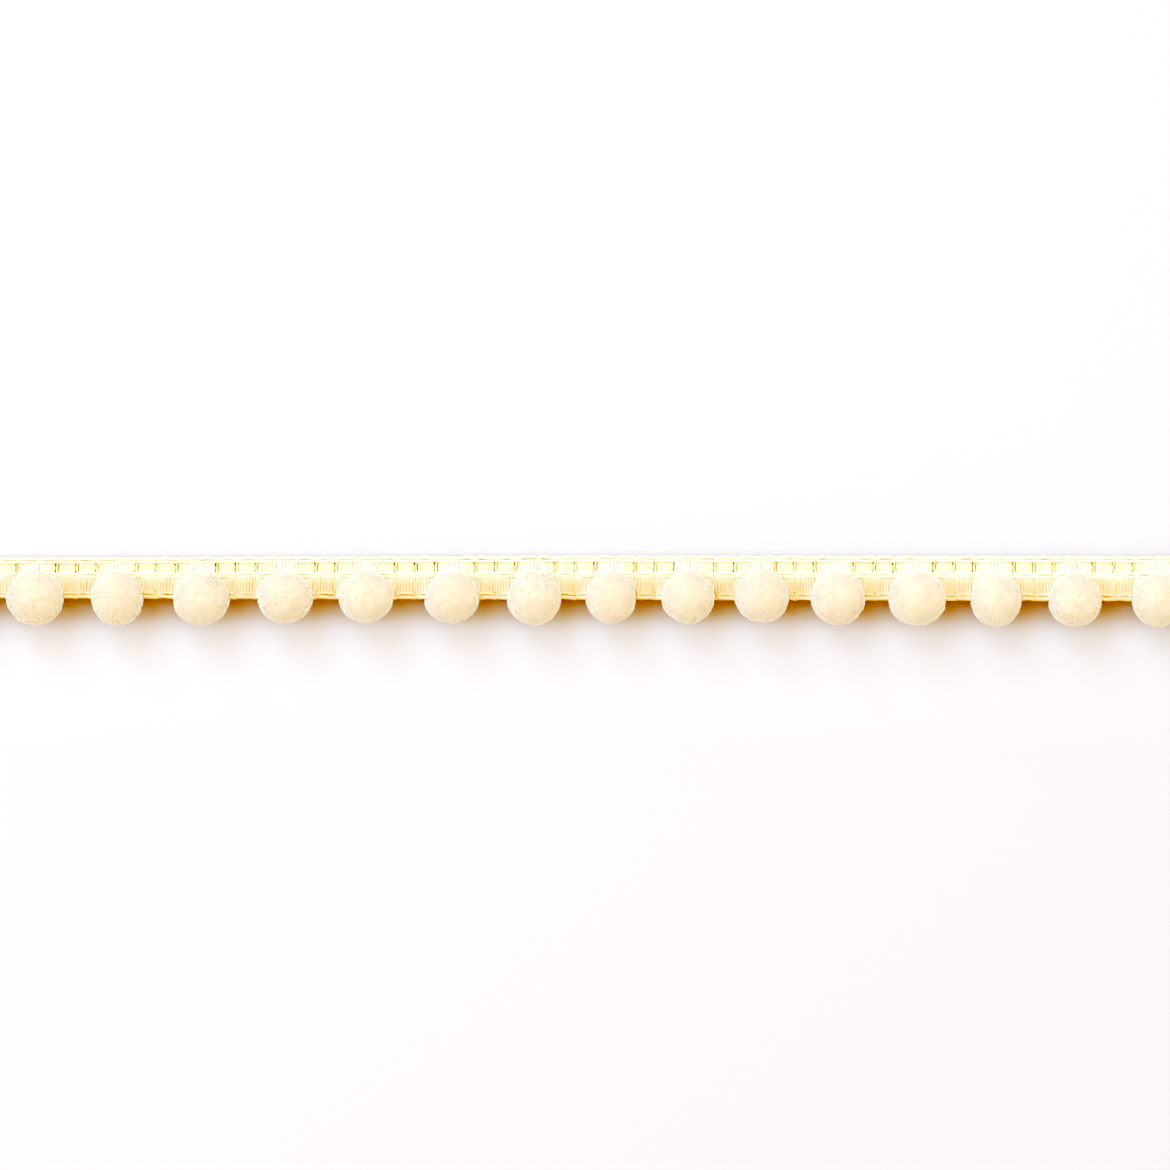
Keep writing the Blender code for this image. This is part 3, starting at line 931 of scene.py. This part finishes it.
def unroll_pile(mesh, pompom):
    """A flat map for one pompom, in which like fibres share a place."""
    points, faces, places = read_corners(mesh)
    chance = read_number(mesh, "yarn_chance")[points]
    depth = read_number(mesh, "yarn_depth")[points]
    spots = read_points(mesh)[points]
    beside = (spots[:, 0] - pompom.x) / pompom.width
    ahead = (spots[:, 1] - ROW_Y - pompom.offset_y) / pompom.length
    core = chance < 0.0
    across = np.where(core, CORE_MIDDLE[0] + CORE_SPAN[0] * beside,
                      FIBRE_CORNER + FIBRE_SPAN[0] * chance + FIBRE_STEP * places)
    up = np.where(core, CORE_MIDDLE[1] + CORE_SPAN[1] * ahead,
                  FIBRE_CORNER + FIBRE_SPAN[1] * depth)
    unroll(mesh, across, up)


# %% Where the tape passes through each pompom
SLOT_WIDTH = 12.0
SLOT_REACH = 6.0
SLOT_HEIGHT = 0.92
SLOT_DEPTH = 0.45


def slot_of(pompom):
    """A box that holds the tape where it passes through this pompom."""
    upper_y, lower_y, lower_z = (float(v) for v in lie_at(pompom.x))
    slope = math.atan2(lower_z, (1.0 - FOOT_SHARE) * (upper_y - lower_y))
    inward = Vector((0.0, math.cos(slope), -math.sin(slope)))
    across = Vector((0.0, math.sin(slope), math.cos(slope)))
    edge = Vector((pompom.x, ROW_Y + lower_y, lower_z)) - inward * SLOT_DEPTH
    return Slot(place=edge + inward * 0.5 * SLOT_REACH + across * 0.5 * SLOT_HEIGHT,
                turn=Vector((-slope, 0.0, 0.0)),
                size=Vector((SLOT_WIDTH, SLOT_REACH, SLOT_HEIGHT)))


# %% Grow the pompoms
FIRST_SEED = 100
grow_pompom = pompom_tree()
nothing = bpy.data.meshes.new("empty start")
pieces = [(chain_loops, "heading_tape", "heading_yarn"),
          (inlaid_threads, "heading_tape", "heading_yarn")]
for number, pompom in enumerate(POMPOMS, start=1):
    slot = slot_of(pompom)
    half_ball = Vector((pompom.width, pompom.length, pompom.height)) * 0.5
    mesh = run_tree(grow_pompom, f"pile_{number:02d}", nothing, {
        "Half Size": half_ball - Vector((PILE_REACH,) * 3),
        "Centre": Vector((pompom.x, ROW_Y + pompom.offset_y, 0.5 * pompom.height)),
        "Slot Place": slot.place,
        "Slot Turn": slot.turn,
        "Slot Size": slot.size,
        "Lump": 0.14,
        "Crease": 0.05,
        "Pile Density": PILE_DENSITY,
        "Pile Length": PILE_LENGTH,
        "Pile Width": PILE_WIDTH,
        "Stray Length": 0.25,
        "Lean": 0.32,
        "Seed": FIRST_SEED + number,
        "Material": pompom_yarn,
    })
    unroll_pile(mesh, pompom)
    mesh.transform(Matrix.Scale(MM, 4))
    piece = bpy.data.objects.new(f"cut_pile_{number:02d}", mesh)
    bpy.context.scene.collection.objects.link(piece)
    pieces.append((piece, f"pompom_{number:02d}", "pompom_yarn"))
print("pieces:", len(pieces), "and the last has", count_triangles(mesh), "triangles")

# %% [markdown]
# ## Table
# The trim lies on a plain white table. A real table is never lit quite evenly, and far lamps light a
# plane without any falling off. So the paint itself gets a little darker, to the right in one
# gentle step and to the front in two.

# %% Table
TABLE_SIZE = 6000.0
TABLE_PAINT = (0.57, 0.578, 0.598)
TABLE_ROUGHNESS = 0.9
Fade = namedtuple("Fade", "side start stop first last")
TABLE_FADES = (
    Fade(side="right", start=-60.0, stop=60.0, first=1.02, last=0.98),
    Fade(side="front", start=-6.5, stop=-16.0, first=1.0, last=0.965),
    Fade(side="front", start=-16.0, stop=-60.0, first=1.0, last=0.98),
)
bpy.ops.mesh.primitive_plane_add(size=TABLE_SIZE * MM)
table = bpy.context.object
table.name = "table"
table_paint = bpy.data.materials.new("table paint")
table_paint.use_nodes = True
tree = table_paint.node_tree
shader = tree.nodes["Principled BSDF"]
shader.inputs["Roughness"].default_value = TABLE_ROUGHNESS
beside, ahead, _ = axis_parts(tree, add_node(tree, "ShaderNodeTexCoord").outputs["Object"])
level = 1.0
for fade in TABLE_FADES:
    step = add_node(tree, "ShaderNodeMapRange", {
        "Value": beside if fade.side == "right" else ahead,
        "From Min": fade.start * MM, "From Max": fade.stop * MM,
        "To Min": fade.first, "To Max": fade.last})
    level = calc(tree, "MULTIPLY", level, step.outputs[0])
tint(tree, TABLE_PAINT, level, shader)
table.data.materials.append(table_paint)
print("table:", TABLE_SIZE, "mm wide")

# %% [markdown]
# ## Light and film
# Four wide, soft windows light the trim from above on both sides, which rounds the pompoms and
# leaves only pale shadows. A fifth is low in front and shows their undersides. Each is a far lamp
# with a wide disc, because its light then falls the same along the whole trim. The walls of the
# room send back a warm light from everywhere, so places that no window reaches turn golden. The
# film is generous: it takes the table and the cream yarn to nearly white, and deep shade to brown.

# %% Windows
DAYLIGHT = (1.0, 1.42, 1.88)
PALE_DAYLIGHT = (1.1, 1.40, 1.62)
LOW_DAYLIGHT = (0.8, 1.25, 1.78)
Lamp = namedtuple("Lamp", "name azimuth tilt width strength colour")
LAMPS = (
    Lamp(name="upper left window", azimuth=28.0, tilt=52.0, width=35.0,
         strength=0.255, colour=DAYLIGHT),
    Lamp(name="left window", azimuth=90.0, tilt=52.0, width=35.0,
         strength=0.16, colour=DAYLIGHT),
    Lamp(name="left high window", azimuth=75.0, tilt=32.0, width=30.0,
         strength=0.10, colour=DAYLIGHT),
    Lamp(name="right window", azimuth=-84.0, tilt=52.0, width=35.0,
         strength=0.22, colour=PALE_DAYLIGHT),
    Lamp(name="low front window", azimuth=170.0, tilt=81.0, width=26.0,
         strength=0.055, colour=LOW_DAYLIGHT),
)
for lamp in LAMPS:
    data = bpy.data.lights.new(lamp.name, "SUN")
    data.angle = math.radians(lamp.width)
    data.energy = math.pi * lamp.strength * max(lamp.colour)
    data.color = [value / max(lamp.colour) for value in lamp.colour]
    azimuth, tilt = math.radians(lamp.azimuth), math.radians(lamp.tilt)
    toward = Vector((-math.sin(azimuth) * math.sin(tilt), math.cos(azimuth) * math.sin(tilt),
                     math.cos(tilt)))
    light = bpy.data.objects.new(lamp.name, data)
    light.rotation_euler = toward.to_track_quat("Z", "Y").to_euler()
    bpy.context.scene.collection.objects.link(light)
print("windows:", len(LAMPS))

# %% Room
ROOM_COLOUR = (1.0, 0.80, 0.63)
ROOM_STRENGTH = 1.31
room = bpy.data.worlds.new("room")
room.use_nodes = True
walls = room.node_tree.nodes["Background"]
walls.inputs["Color"].default_value = (*ROOM_COLOUR, 1.0)
walls.inputs["Strength"].default_value = ROOM_STRENGTH
bpy.context.scene.world = room

# %% Film
BLACK_POINT = (0.12, 0.243, 0.302)
FILM_CURVE = ((0.12, 0.12), (0.37, 0.44), (0.65, 0.71), (0.90, 0.91))
film = bpy.context.scene.view_settings
film.view_transform = "Standard"
film.use_curve_mapping = True
brightness_curve = film.curve_mapping.curves[3]
for darker, lighter in FILM_CURVE:
    brightness_curve.points.new(darker, lighter)
film.curve_mapping.black_level = BLACK_POINT
film.curve_mapping.update()
print("film curve points:", len(brightness_curve.points))

# %% [markdown]
# ## Camera
# The camera looks straight down on the trim from far away with a long lens, so that a pompom at the
# side is seen from above like one in the middle. The lens follows from the width that it takes in
# at the level of the pompoms' widest rings.

# %% Camera
VIEW_WIDTH = 117.0
CAMERA_HEIGHT = 600.0
CAMERA_Y = 0.53
FOCUS_HEIGHT = 2.6
SENSOR_WIDTH = 36.0
camera_data = bpy.data.cameras.new("camera")
camera_data.sensor_width = SENSOR_WIDTH
camera_data.lens = SENSOR_WIDTH * (CAMERA_HEIGHT - FOCUS_HEIGHT) / VIEW_WIDTH
camera = bpy.data.objects.new("camera", camera_data)
camera.location = Vector((0.0, CAMERA_Y, CAMERA_HEIGHT)) * MM
bpy.context.scene.collection.objects.link(camera)
bpy.context.scene.camera = camera
print("lens:", round(camera_data.lens, 1), "mm")

# %% [markdown]
# ## Tie the pieces to their solids
# A trim has no joints, so every piece rides on its one body. Each piece also says which imported solid
# it stands for, which hides that solid.

# %% Tie each piece to its solid
for piece, node, slot in pieces:
    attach(piece, "root")
    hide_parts(node)
total = sum(count_triangles(piece.data) for piece, _, _ in pieces)
print("triangles in all:", total)
